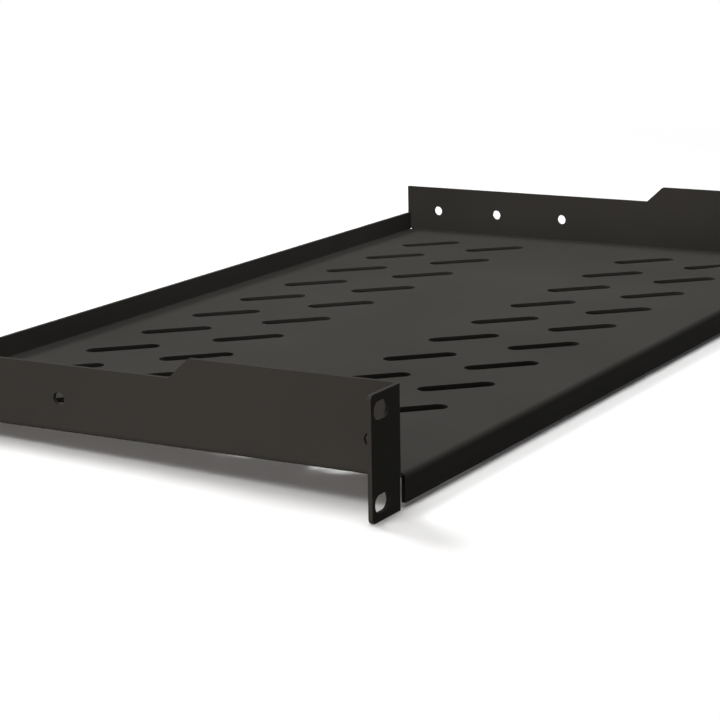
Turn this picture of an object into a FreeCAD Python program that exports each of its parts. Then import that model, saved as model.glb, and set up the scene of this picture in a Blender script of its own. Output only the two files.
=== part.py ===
"""Cantilever rack shelf: one sheet of steel, folded into tray, walls, ears and lips.

Millimetres. The origin is at the middle of the footprint, on the level of the ears' bottom
edges. +X is to the right of someone facing the rack, +Y goes into the rack and +Z is up.
"""
import FreeCAD
import Part
import Sketcher
import math
import os

doc = FreeCAD.newDocument("cantilever_rack_shelf")

# Every size of the shelf, once, under the name the sketches and features use for it.
SIZES = {
    "rack_hole_across": 465.1,
    "rack_hole_up": 31.75,
    "rack_hole_low": 5.975,
    "rack_slot_width": 10.2,
    "rack_slot_height": 6.4,
    "hole_to_ear_tip": 6.95,
    "hole_to_wall": 12.55,
    "sheet_gauge": 1.6,
    "bend_inner": 0.5,
    "shelf_depth": 235.0,
    "tray_underside": 10.3,
    "wall_top": 43.7,
    "wall_low_top": 35.8,
    "slope_front": 84.5,
    "slope_run": 8.6,
    "slope_round": 2.0,
    "rear_lip_top": 21.2,
    "front_lip_foot": 1.55,
    "ear_round": 1.8,
    "lip_end_notch": 1.1,
    "wall_hole_bore": 5.0,
    "wall_hole_level": 23.0,
    "front_hole_setback": 11.5,
    "rear_hole_margin": 18.6,
    "rear_hole_gap": 35.7,
    "middle_hole_gap": 38.7,
    "vent_length": 31.6,
    "vent_width": 8.0,
    "vent_turn": 45.0,
    "vent_count": 10,
    "vent_side_margin": 40.0,
    "vent_front_margin": 41.0,
    "vent_rear_margin": 34.75,
    "vent_row_gap": 37.5,
}

sheet = doc.addObject("Spreadsheet::Sheet", "Sizes")
for row, (alias, value) in enumerate(SIZES.items(), start=1):
    sheet.set("A%d" % row, alias)
    sheet.set("B%d" % row, str(value))
    sheet.setAlias("B%d" % row, alias)
doc.recompute()

FRONT = "(-Sizes.shelf_depth / 2)"
REAR = "(Sizes.shelf_depth / 2)"
BEND = "(Sizes.bend_inner + Sizes.sheet_gauge)"
HALF = "(Sizes.rack_hole_across / 2 - Sizes.hole_to_wall)"
INSIDE = "(%s - Sizes.sheet_gauge)" % HALF
TIP = "(Sizes.rack_hole_across / 2 + Sizes.hole_to_ear_tip)"
FLOOR = "Sizes.tray_underside"
TRAY_TOP = "(Sizes.tray_underside + Sizes.sheet_gauge)"

front = -SIZES["shelf_depth"] / 2
rear = SIZES["shelf_depth"] / 2
gauge = SIZES["sheet_gauge"]
bend = SIZES["bend_inner"] + gauge
rack_x = SIZES["rack_hole_across"] / 2
half = rack_x - SIZES["hole_to_wall"]
tip = rack_x + SIZES["hole_to_ear_tip"]
floor = SIZES["tray_underside"]
lift = floor + gauge

body = doc.addObject("PartDesign::Body", "FoldedShelf")
body.Label = "folded_shelf"


def origin_item(role):
    """The body's own origin plane or axis with this role."""
    return [item for item in body.Origin.OriginFeatures if item.Role == role][0]


def new_sketch(name, plane, offset=None):
    """An empty sketch on one of the body's planes, moved along its normal by an expression."""
    sketch = body.newObject("Sketcher::SketchObject", name)
    sketch.AttachmentSupport = [(origin_item(plane), "")]
    sketch.MapMode = "FlatFace"
    if offset:
        sketch.setExpression("AttachmentOffset.Base.z", offset)
    return sketch


def pin(sketch, geo, point, across, up):
    """Tie a point of the sketch to two expressions, measured from the sketch's origin."""
    for kind, axis, rule in (("DistanceX", -2, across), ("DistanceY", -1, up)):
        if rule == "0":
            sketch.addConstraint(Sketcher.Constraint("PointOnObject", geo, point, axis))
            continue
        index = sketch.addConstraint(Sketcher.Constraint(kind, -1, 1, geo, point, 1.0))
        sketch.setExpression("Constraints[%d]" % index, rule)


def outline(name, plane, loops, offset=None):
    """A sketch of closed outlines with every corner tied to expressions."""
    sketch = new_sketch(name, plane, offset)
    for loop in loops:
        count = len(loop)
        first = sketch.GeometryCount
        for step in range(count):
            turn = [2 * math.pi * (step + ahead) / count for ahead in (0, 1)]
            ends = [FreeCAD.Vector(math.cos(t), math.sin(t), 0) for t in turn]
            sketch.addGeometry(Part.LineSegment(ends[0], ends[1]), False)
        for step in range(count):
            after = first + (step + 1) % count
            sketch.addConstraint(Sketcher.Constraint("Coincident", first + step, 2, after, 1))
        for step, (across, up) in enumerate(loop):
            pin(sketch, first + step, 1, across, up)
    return sketch


def mirrored(loop):
    """The same outline on the other side of the shelf's middle."""
    return [("-(%s)" % across, up) for across, up in loop]


def discs(name, plane, places, radius):
    """A sketch of equal circles, each centre tied to expressions."""
    sketch = new_sketch(name, plane)
    for step, (across, up) in enumerate(places):
        centre = FreeCAD.Vector(10.0 * step, 10.0, 0)
        sketch.addGeometry(Part.Circle(centre, FreeCAD.Vector(0, 0, 1), 1.0), False)
        pin(sketch, step, 3, across, up)
        index = sketch.addConstraint(Sketcher.Constraint("Radius", step, 1.0))
        sketch.setExpression("Constraints[%d]" % index, radius)
    return sketch


def stadium(name, plane, place, start, length, width, turn, offset=None):
    """A sketch of one round-ended slot about the point `start`, turned by `turn` degrees."""
    sketch = new_sketch(name, plane, offset)
    x, y = start
    radius = SIZES[width] / 2
    reach = SIZES[length] / 2 - radius
    angle = math.radians(turn)
    along = FreeCAD.Vector(math.cos(angle), math.sin(angle), 0)
    side = FreeCAD.Vector(-along.y, along.x, 0)
    centre = FreeCAD.Vector(x, y, 0)
    near = centre - along * reach
    far = centre + along * reach
    up = FreeCAD.Vector(0, 0, 1)
    sketch.addGeometry(Part.LineSegment(near + side * radius, far + side * radius), False)
    right = Part.Circle(far, up, radius)
    sketch.addGeometry(Part.ArcOfCircle(right, angle - math.pi / 2, angle + math.pi / 2), False)
    sketch.addGeometry(Part.LineSegment(near - side * radius, far - side * radius), False)
    left = Part.Circle(near, up, radius)
    sketch.addGeometry(Part.ArcOfCircle(left, angle + math.pi / 2, angle + 1.5 * math.pi), False)
    sketch.addGeometry(Part.LineSegment(near, far), True)
    for line, line_end, arc, arc_end in ((0, 1, 3, 1), (0, 2, 1, 2), (2, 1, 3, 2), (2, 2, 1, 1)):
        sketch.addConstraint(Sketcher.Constraint("Tangent", line, line_end, arc, arc_end))
    sketch.addConstraint(Sketcher.Constraint("Equal", 1, 3))
    sketch.addConstraint(Sketcher.Constraint("Coincident", 4, 1, 3, 3))
    sketch.addConstraint(Sketcher.Constraint("Coincident", 4, 2, 1, 3))
    sketch.addGeometry(Part.Point(centre), True)
    sketch.addConstraint(Sketcher.Constraint("Symmetric", 4, 1, 4, 2, 5, 1))
    pin(sketch, 5, 1, place[0], place[1])
    index = sketch.addConstraint(Sketcher.Constraint("Radius", 1, radius))
    sketch.setExpression("Constraints[%d]" % index, "Sizes.%s / 2" % width)
    index = sketch.addConstraint(Sketcher.Constraint("Distance", 4, 1, 4, 2, 2 * reach))
    sketch.setExpression("Constraints[%d]" % index, "Sizes.%s - Sizes.%s" % (length, width))
    return sketch


def settle(feature):
    """Recompute, make the feature the body's result and stop on any fault."""
    body.Tip = feature
    doc.recompute()
    if "Invalid" in feature.State or "Error" in feature.State or not feature.Shape.isValid():
        raise RuntimeError("%s did not build: %s" % (feature.Name, feature.getStatusString()))
    return feature


def pad(name, sketch, length, backwards=False, both=False):
    """Material over the sketch, along its normal, against it or evenly to both sides."""
    feature = body.newObject("PartDesign::Pad", name)
    feature.Profile = sketch
    feature.Reversed = backwards
    if both:
        feature.SideType = "Symmetric"
    feature.setExpression("Length", length)
    return settle(feature)


def pocket(name, sketch, backwards=False, both=False):
    """A cut through everything, which must really take some material away."""
    before = body.Shape.Volume
    feature = body.newObject("PartDesign::Pocket", name)
    feature.Profile = sketch
    feature.Type = "ThroughAll"
    feature.Reversed = backwards
    if both:
        feature.SideType = "Symmetric"
    settle(feature)
    if feature.Shape.Volume > before - 1.0:
        raise RuntimeError(name + " took nothing away")
    return feature


def fillet(name, radius, places):
    """Round the straight edges at each place; None is the direction that the edge runs in."""
    base = body.Tip
    chosen = []
    for number, edge in enumerate(base.Shape.Edges, start=1):
        ends = [vertex.Point for vertex in edge.Vertexes]
        for place in places:
            run = place.index(None)
            across = [axis for axis in range(3) if axis != run]
            straight = len(ends) == 2 and all(abs(ends[0][a] - ends[1][a]) < 1e-4 for a in across)
            if straight and all(abs(abs(ends[0][a]) - abs(place[a])) < 1e-4 for a in across):
                if all(a == 0 or ends[0][a] * place[a] >= 0 for a in across):
                    chosen.append("Edge%d" % number)
    if len(chosen) != 2 * len(places) and len(chosen) != len(places):
        raise RuntimeError("%s found %d edges" % (name, len(chosen)))
    feature = body.newObject("PartDesign::Fillet", name)
    feature.Base = (base, chosen)
    feature.setExpression("Radius", radius)
    return settle(feature)


# Tray and side walls: one channel folded up on both sides, from the ears' bends to the rear.
channel = outline("ChannelSection", "XZ_Plane", [[
    ("-" + HALF, "Sizes.wall_top"), ("-" + HALF, FLOOR), (HALF, FLOOR), (HALF, "Sizes.wall_top"),
    (INSIDE, "Sizes.wall_top"), (INSIDE, TRAY_TOP), ("-" + INSIDE, TRAY_TOP),
    ("-" + INSIDE, "Sizes.wall_top")]], "%s - %s" % (REAR, BEND))
pad("Channel", channel, "Sizes.shelf_depth - %s" % BEND, backwards=True)
fillet("ChannelOuterBends", BEND, [(half, None, floor)])
fillet("ChannelInnerBends", "Sizes.bend_inner", [(half - gauge, None, lift)])

# Wall tops: full height beside the ears, a short slope, then the low edge to the rear.
step_y = "(%s + Sizes.slope_front)" % FRONT
low_y = "(%s + Sizes.slope_front + Sizes.slope_run)" % FRONT
over = "(Sizes.wall_top + Sizes.sheet_gauge)"
behind = "(%s + Sizes.sheet_gauge)" % REAR
top_cut = outline("WallTopCut", "YZ_Plane", [[
    (step_y, "Sizes.wall_top"), (low_y, "Sizes.wall_low_top"), (behind, "Sizes.wall_low_top"),
    (behind, over), (step_y, over)]])
pocket("WallTops", top_cut, both=True)
slope_start = front + SIZES["slope_front"]
slope_end = slope_start + SIZES["slope_run"]
fillet("SlopeCorners", "Sizes.slope_round",
       [(None, slope_start, SIZES["wall_top"]), (None, slope_end, SIZES["wall_low_top"])])

# The channel's floor stops one bend short of the rear, where the rear lip turns up.
bend_top = "(%s + %s)" % (FLOOR, BEND)
under = "(%s - Sizes.sheet_gauge)" % FLOOR
rear_cut = outline("RearNotchCut", "YZ_Plane", [[
    ("(%s - %s)" % (REAR, BEND), under), (behind, under), (behind, bend_top),
    ("(%s - %s)" % (REAR, BEND), bend_top)]])
pocket("RearNotch", rear_cut, both=True)

# Front lip turned down and rear lip turned up, between the bend lines of the walls.
lip_front = "(%s + Sizes.sheet_gauge)" % FRONT
lip_rear = "(%s - Sizes.sheet_gauge)" % REAR
lips = outline("LipSection", "YZ_Plane", [[
    (FRONT, "Sizes.front_lip_foot"), (lip_front, "Sizes.front_lip_foot"), (lip_front, FLOOR),
    (REAR, FLOOR), (REAR, "Sizes.rear_lip_top"), (lip_rear, "Sizes.rear_lip_top"),
    (lip_rear, TRAY_TOP), (FRONT, TRAY_TOP)]])
pad("TrayAndLips", lips, "2 * (%s - %s)" % (HALF, BEND), both=True)
fillet("LipOuterBends", BEND, [(None, front, lift), (None, rear, floor)])
fillet("LipInnerBends", "Sizes.bend_inner", [(None, front + gauge, floor), (None, rear - gauge, lift)])

# Ears: the front of each wall bends outwards by a quarter turn, above the tray's own bend.
ear = [(TIP, FRONT), (TIP, lip_front), (HALF, lip_front), (HALF, "(%s + %s)" % (FRONT, BEND)),
       (INSIDE, "(%s + %s)" % (FRONT, BEND)), (INSIDE, FRONT)]
ears = outline("EarSection", "XY_Plane", [ear, mirrored(ear)], bend_top)
pad("Ears", ears, "Sizes.wall_top - %s" % bend_top)
fillet("EarOuterBends", BEND, [(half - gauge, front, None)])
fillet("EarInnerBends", "Sizes.bend_inner", [(half, front + gauge, None)])

# Ear feet: the flat of each ear runs on down past the tray, clear of the lip's end.
root_x = "(%s - Sizes.sheet_gauge + %s)" % (HALF, BEND)
foot = [(TIP, "0"), (TIP, bend_top), (root_x, bend_top), (root_x, "0")]
feet = outline("EarFeetOutline", "XZ_Plane", [foot, mirrored(foot)], REAR)
pad("EarFeet", feet, "Sizes.sheet_gauge", backwards=True)
fillet("EarCorners", "Sizes.ear_round", [(tip, None, 0.0), (tip, None, SIZES["wall_top"])])

# Lip ends: a notch at each end of the front lip frees its bend from the wall's bend and the ear.
lip_end = "(%s - %s - Sizes.lip_end_notch)" % (HALF, BEND)
notch_side = "(%s - Sizes.bend_inner / 2)" % INSIDE
notch_back = "(%s + %s)" % (FRONT, BEND)
notch_front = "(%s - Sizes.sheet_gauge)" % FRONT
notch = [(lip_end, notch_front), (notch_side, notch_front), (notch_side, notch_back),
         (lip_end, notch_back)]
pocket("LipEndNotches", outline("LipEndCut", "XY_Plane", [notch, mirrored(notch)]), both=True)

# Rack slots: two level round-ended slots in each ear, on the rack's standard centres.
slot = stadium("RackSlotOutline", "XZ_Plane", ("-Sizes.rack_hole_across / 2", "Sizes.rack_hole_low"),
               (-rack_x, SIZES["rack_hole_low"]), "rack_slot_width", "rack_slot_height", 0.0, REAR)
slot.addConstraint(Sketcher.Constraint("Horizontal", 4))
rack_slot = pocket("RackSlot", slot)


def rows(name, seed, steps):
    """Repeat a cut along axes of the body; each step is axis, distance and count."""
    before = seed.Shape.Volume
    feature = body.newObject("PartDesign::MultiTransform", name)
    feature.Originals = [seed]
    members = []
    for number, (axis, length, count) in enumerate(steps, start=1):
        line = body.newObject("PartDesign::LinearPattern", "%sStep%d" % (name, number))
        line.Direction = (origin_item(axis), [""])
        line.setExpression("Length", length)
        line.setExpression("Occurrences", count)
        members.append(line)
    feature.Transformations = members
    settle(feature)
    if feature.Shape.Volume > before - 1.0:
        raise RuntimeError(name + " repeated nothing")
    return feature


rows("RackSlots", rack_slot, [("X_Axis", "Sizes.rack_hole_across", "2"),
                              ("Z_Axis", "Sizes.rack_hole_up", "2")])

# Round holes through both side walls: one behind the ears and three towards the rear.
last = "(%s - Sizes.rear_hole_margin)" % REAR
middle = "(%s - Sizes.rear_hole_gap)" % last
third = "(%s - Sizes.middle_hole_gap)" % middle
level = "Sizes.wall_hole_level"
spots = [("(%s + Sizes.front_hole_setback)" % FRONT, level), (third, level), (middle, level),
         (last, level)]
pocket("WallHoles", discs("WallHoleCircles", "YZ_Plane", spots, "Sizes.wall_hole_bore / 2"), both=True)

# Vents: slanting round-ended slots in four rows, two towards the front and two to the rear.
first_x = "(Sizes.vent_side_margin - %s)" % HALF
first_y = "(%s + Sizes.vent_front_margin)" % FRONT
vent = stadium("VentOutline", "XY_Plane", (first_x, first_y),
               (SIZES["vent_side_margin"] - half, front + SIZES["vent_front_margin"]),
               "vent_length", "vent_width", -SIZES["vent_turn"])
turned = vent.addConstraint(Sketcher.Constraint("Angle", -1, 1, 4, 1, -math.radians(SIZES["vent_turn"])))
vent.setExpression("Constraints[%d]" % turned, "-Sizes.vent_turn * 1 deg")
first_vent = pocket("Vent", vent, both=True)
group_gap = "Sizes.shelf_depth - Sizes.vent_front_margin - Sizes.vent_rear_margin - Sizes.vent_row_gap"
rows("Vents", first_vent, [
    ("X_Axis", "2 * (%s - Sizes.vent_side_margin)" % HALF, "Sizes.vent_count"),
    ("Y_Axis", "Sizes.vent_row_gap", "2"), ("Y_Axis", group_gap, "2")])

for item in doc.Objects:
    if "Invalid" in item.State or "Error" in item.State:
        raise RuntimeError("%s: %s" % (item.Name, item.State))
shape = body.Shape
if shape.isNull() or not shape.isValid() or len(shape.Solids) != 1:
    raise RuntimeError("the shelf must be one sound solid")

os.makedirs("parts", exist_ok=True)
shape.exportStep("parts/folded_shelf.step")
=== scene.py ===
import math

import bpy
from mathutils import Euler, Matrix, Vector


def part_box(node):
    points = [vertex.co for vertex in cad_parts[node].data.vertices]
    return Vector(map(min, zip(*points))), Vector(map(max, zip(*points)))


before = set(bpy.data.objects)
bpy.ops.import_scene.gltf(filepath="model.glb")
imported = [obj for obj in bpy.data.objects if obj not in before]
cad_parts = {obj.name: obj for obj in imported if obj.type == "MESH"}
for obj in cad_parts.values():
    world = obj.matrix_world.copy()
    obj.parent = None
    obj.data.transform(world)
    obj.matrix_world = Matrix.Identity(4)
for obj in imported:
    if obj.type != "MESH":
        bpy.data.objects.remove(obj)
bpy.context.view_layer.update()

# The shelf is one sheet of steel in black powder coat. The coat is nearly matt, with a fine
# leathery texture: tiny rounded grains, over a slower ripple from the sheet.
coat = bpy.data.node_groups.new("PowderCoat", "ShaderNodeTree")
for name, kind in (("Color", "NodeSocketColor"), ("Roughness", "NodeSocketFloat"),
                   ("Height", "NodeSocketFloat")):
    coat.interface.new_socket(name, in_out="OUTPUT", socket_type=kind)
nodes, links = coat.nodes, coat.links
place = nodes.new("ShaderNodeTexCoord")


def noise(scale, detail):
    """A noise pattern over the sheet, with so many ripples to the metre."""
    node = nodes.new("ShaderNodeTexNoise")
    node.inputs["Scale"].default_value = scale
    node.inputs["Detail"].default_value = detail
    links.new(place.outputs["Object"], node.inputs["Vector"])
    return node.outputs["Fac"]


grain = noise(1500.0, 2.0)
ripple = noise(260.0, 3.0)
cloud = noise(14.0, 4.0)

height = nodes.new("ShaderNodeMix")
height.data_type = "FLOAT"
height.inputs["Factor"].default_value = 0.35
links.new(grain, height.inputs["A"])
links.new(ripple, height.inputs["B"])

tint = nodes.new("ShaderNodeValToRGB")
dark, pale = tint.color_ramp.elements
dark.position, dark.color = 0.3, (0.0310, 0.0298, 0.0272, 1.0)
pale.position, pale.color = 0.7, (0.0370, 0.0357, 0.0328, 1.0)
links.new(cloud, tint.inputs["Fac"])

gloss = nodes.new("ShaderNodeMapRange")
gloss.inputs["To Min"].default_value = 0.84
gloss.inputs["To Max"].default_value = 0.92
links.new(grain, gloss.inputs["Value"])

out = nodes.new("NodeGroupOutput")
links.new(tint.outputs["Color"], out.inputs["Color"])
links.new(gloss.outputs["Result"], out.inputs["Roughness"])
links.new(height.outputs["Result"], out.inputs["Height"])

powder = bpy.data.materials.new("satin_black_powder_coat")
powder.use_nodes = True
nodes, links = powder.node_tree.nodes, powder.node_tree.links
shader = nodes["Principled BSDF"]
shader.inputs["Metallic"].default_value = 0.0
shader.inputs["Specular IOR Level"].default_value = 0.03
effect = nodes.new("ShaderNodeGroup")
effect.node_tree = coat
bump = nodes.new("ShaderNodeBump")
bump.inputs["Strength"].default_value = 0.25
bump.inputs["Distance"].default_value = 0.00006
links.new(effect.outputs["Color"], shader.inputs["Base Color"])
links.new(effect.outputs["Roughness"], shader.inputs["Roughness"])
links.new(effect.outputs["Height"], bump.inputs["Height"])
links.new(bump.outputs["Normal"], shader.inputs["Normal"])

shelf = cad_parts["folded_shelf"]
for slot in shelf.material_slots:
    slot.material = powder

# The shelf rests on the bottom edges of its ears, on paper that climbs slightly to the rear,
# bounces little light back and fades to plain white. A dark patch painted under the tray shows
# in low views only, to make the vents look black: it isn't real shade.
FLOOR_SIZE = 24.0
FLOOR_CLIMB = math.radians(1.8)
BOUNCED, SEEN, SHADED = 0.05, 0.93, 0.03
# Facing is 1 minus the sine of the view's height: the patch comes in from 25 to 17 degrees.
SHADE_GONE, SHADE_FULL = 0.58, 0.70
SHADE_MIDDLE_X, SHADE_HALF_X, SHADE_HALF_Y, SHADE_SOFT = 0.03, 0.21, 0.115, 0.025
FADE_START, FADE_END = 0.45, 0.85
WHITE = (1.0, 1.0, 1.0, 1.0)


def grey(level):
    """A neutral colour of this brightness."""
    return (level, level, level, 1.0)


def math_node(nodes, links, operation, first, second=None):
    """A Math node fed by sockets or plain numbers, returning its value."""
    node = nodes.new("ShaderNodeMath")
    node.operation = operation
    for index, value in enumerate((first, second)):
        if isinstance(value, bpy.types.NodeSocket):
            links.new(value, node.inputs[index])
        elif value is not None:
            node.inputs[index].default_value = value
    return node.outputs["Value"]


def smooth_step(nodes, links, value, start, end, before=0.0, after=1.0):
    """Passes smoothly from `before` to `after` while the value goes from start to end."""
    node = nodes.new("ShaderNodeMapRange")
    node.interpolation_type = "SMOOTHSTEP"
    for name, setting in (("From Min", start), ("From Max", end),
                          ("To Min", before), ("To Max", after)):
        node.inputs[name].default_value = setting
    links.new(value, node.inputs["Value"])
    return node.outputs["Result"]


def background_rays(nodes, links):
    """1 for the rays that show the background: seen directly, in a gloss or through glass."""
    rays = nodes.new("ShaderNodeLightPath")
    total = rays.outputs["Is Camera Ray"]
    for kind in ("Is Glossy Ray", "Is Transmission Ray"):
        total = math_node(nodes, links, "MAXIMUM", total, rays.outputs[kind])
    return total


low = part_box("folded_shelf")[0]
bpy.ops.mesh.primitive_plane_add(size=FLOOR_SIZE)
floor = bpy.context.object
floor.name = "floor"
floor.rotation_euler = (FLOOR_CLIMB, 0.0, 0.0)
floor.location = Vector((0.0, low.y, 0.0))
paper = bpy.data.materials.new("white_paper")
paper.use_nodes = True
nodes, links = paper.node_tree.nodes, paper.node_tree.links
shader = nodes["Principled BSDF"]
shader.inputs["Roughness"].default_value = 0.9
shader.inputs["Specular IOR Level"].default_value = 0.1
bounce = nodes.new("ShaderNodeMix")
bounce.data_type = "RGBA"
bounce.inputs["A"].default_value = grey(BOUNCED)
bounce.inputs["B"].default_value = grey(SEEN)
seen = background_rays(nodes, links)
links.new(seen, bounce.inputs["Factor"])

place = nodes.new("ShaderNodeTexCoord")
split = nodes.new("ShaderNodeSeparateXYZ")
links.new(place.outputs["Object"], split.inputs["Vector"])
graze = nodes.new("ShaderNodeLayerWeight")
graze.inputs["Blend"].default_value = 0.5
shade = smooth_step(nodes, links, graze.outputs["Facing"], SHADE_GONE, SHADE_FULL)
for axis, middle, half in (("X", SHADE_MIDDLE_X, SHADE_HALF_X), ("Y", -low.y, SHADE_HALF_Y)):
    offset = math_node(nodes, links, "SUBTRACT", split.outputs[axis], middle)
    reach = math_node(nodes, links, "ABSOLUTE", offset)
    edge = smooth_step(nodes, links, reach, half - SHADE_SOFT, half, before=1.0, after=0.0)
    shade = math_node(nodes, links, "MULTIPLY", shade, edge)
under = nodes.new("ShaderNodeMix")
under.data_type = "RGBA"
links.new(shade, under.inputs["Factor"])
links.new(bounce.outputs["Result"], under.inputs["A"])
under.inputs["B"].default_value = grey(SHADED)
links.new(under.outputs["Result"], shader.inputs["Base Color"])

radius = nodes.new("ShaderNodeVectorMath")
radius.operation = "LENGTH"
links.new(place.outputs["Object"], radius.inputs[0])
fade = smooth_step(nodes, links, radius.outputs["Value"], FADE_START, FADE_END)
plain = nodes.new("ShaderNodeEmission")
plain.inputs["Color"].default_value = WHITE
plain.inputs["Strength"].default_value = 1.0
surface = nodes.new("ShaderNodeMixShader")
links.new(math_node(nodes, links, "MULTIPLY", seen, fade), surface.inputs["Fac"])
links.new(shader.outputs["BSDF"], surface.inputs[1])
links.new(plain.outputs["Emission"], surface.inputs[2])
links.new(surface.outputs["Shader"], nodes["Material Output"].inputs["Surface"])
floor.data.materials.append(paper)

# A dim white room that shows as a plain background. Big soft lamps behind the shelf and above
# it light the tray, a warm low one on the left reaches the side walls but not down into the
# vents, and two weak ones lift the faces that look forwards.
ROOM_LIGHT, BACKDROP = 0.02, 1.0

world = bpy.data.worlds.new("room")
bpy.context.scene.world = world
world.use_nodes = True
nodes, links = world.node_tree.nodes, world.node_tree.links
room = nodes["Background"]
backdrop = nodes.new("ShaderNodeBackground")
for node, strength in ((room, ROOM_LIGHT), (backdrop, BACKDROP)):
    node.inputs["Color"].default_value = WHITE
    node.inputs["Strength"].default_value = strength
blend = nodes.new("ShaderNodeMixShader")
links.new(background_rays(nodes, links), blend.inputs["Fac"])
links.new(room.outputs["Background"], blend.inputs[1])
links.new(backdrop.outputs["Background"], blend.inputs[2])
links.new(blend.outputs["Shader"], nodes["World Output"].inputs["Surface"])


def lamp(name, spot, wide, tall, watts, color=(1.0, 1.0, 1.0)):
    """A soft rectangular lamp at `spot`, turned to face the shelf."""
    data = bpy.data.lights.new(name, "AREA")
    data.shape = "RECTANGLE"
    data.size, data.size_y = wide, tall
    data.energy = watts
    data.color = color
    item = bpy.data.objects.new(name, data)
    item.location = spot
    item.rotation_euler = (-Vector(spot)).to_track_quat("-Z", "Y").to_euler()
    bpy.context.scene.collection.objects.link(item)


lamp("main", (0.5, 1.5, 1.8), 1.0, 0.8, 41.0)
lamp("above", (0.0, 0.0, 2.0), 1.4, 0.6, 16.0)
lamp("left_low", (-1.8, -0.1, 0.19), 0.3, 0.22, 25.5, color=(1.0, 0.93, 0.89))
lamp("front_right", (0.6, -1.7, 0.5), 1.0, 0.5, 3.9)
lamp("over_tray", (0.0, -0.05, 0.36), 0.9, 0.08, 1.0)

# The camera stands to the left of the shelf's front, a little above it, and looks along the
# front from there with a long lens. Its tilt and its turn about Z are in degrees.
camera_data = bpy.data.cameras.new("camera")
camera_data.lens = 108.84
camera_data.sensor_width = 36.0
camera_data.clip_start = 0.05
camera_data.clip_end = 60.0
camera = bpy.data.objects.new("camera", camera_data)
camera.location = (-0.83270, -0.45571, 0.21277)
camera.rotation_euler = Euler([math.radians(angle) for angle in (77.0419, 0.9933, -60.2697)])
bpy.context.scene.collection.objects.link(camera)
bpy.context.scene.camera = camera
bpy.context.scene.view_settings.view_transform = "Standard"
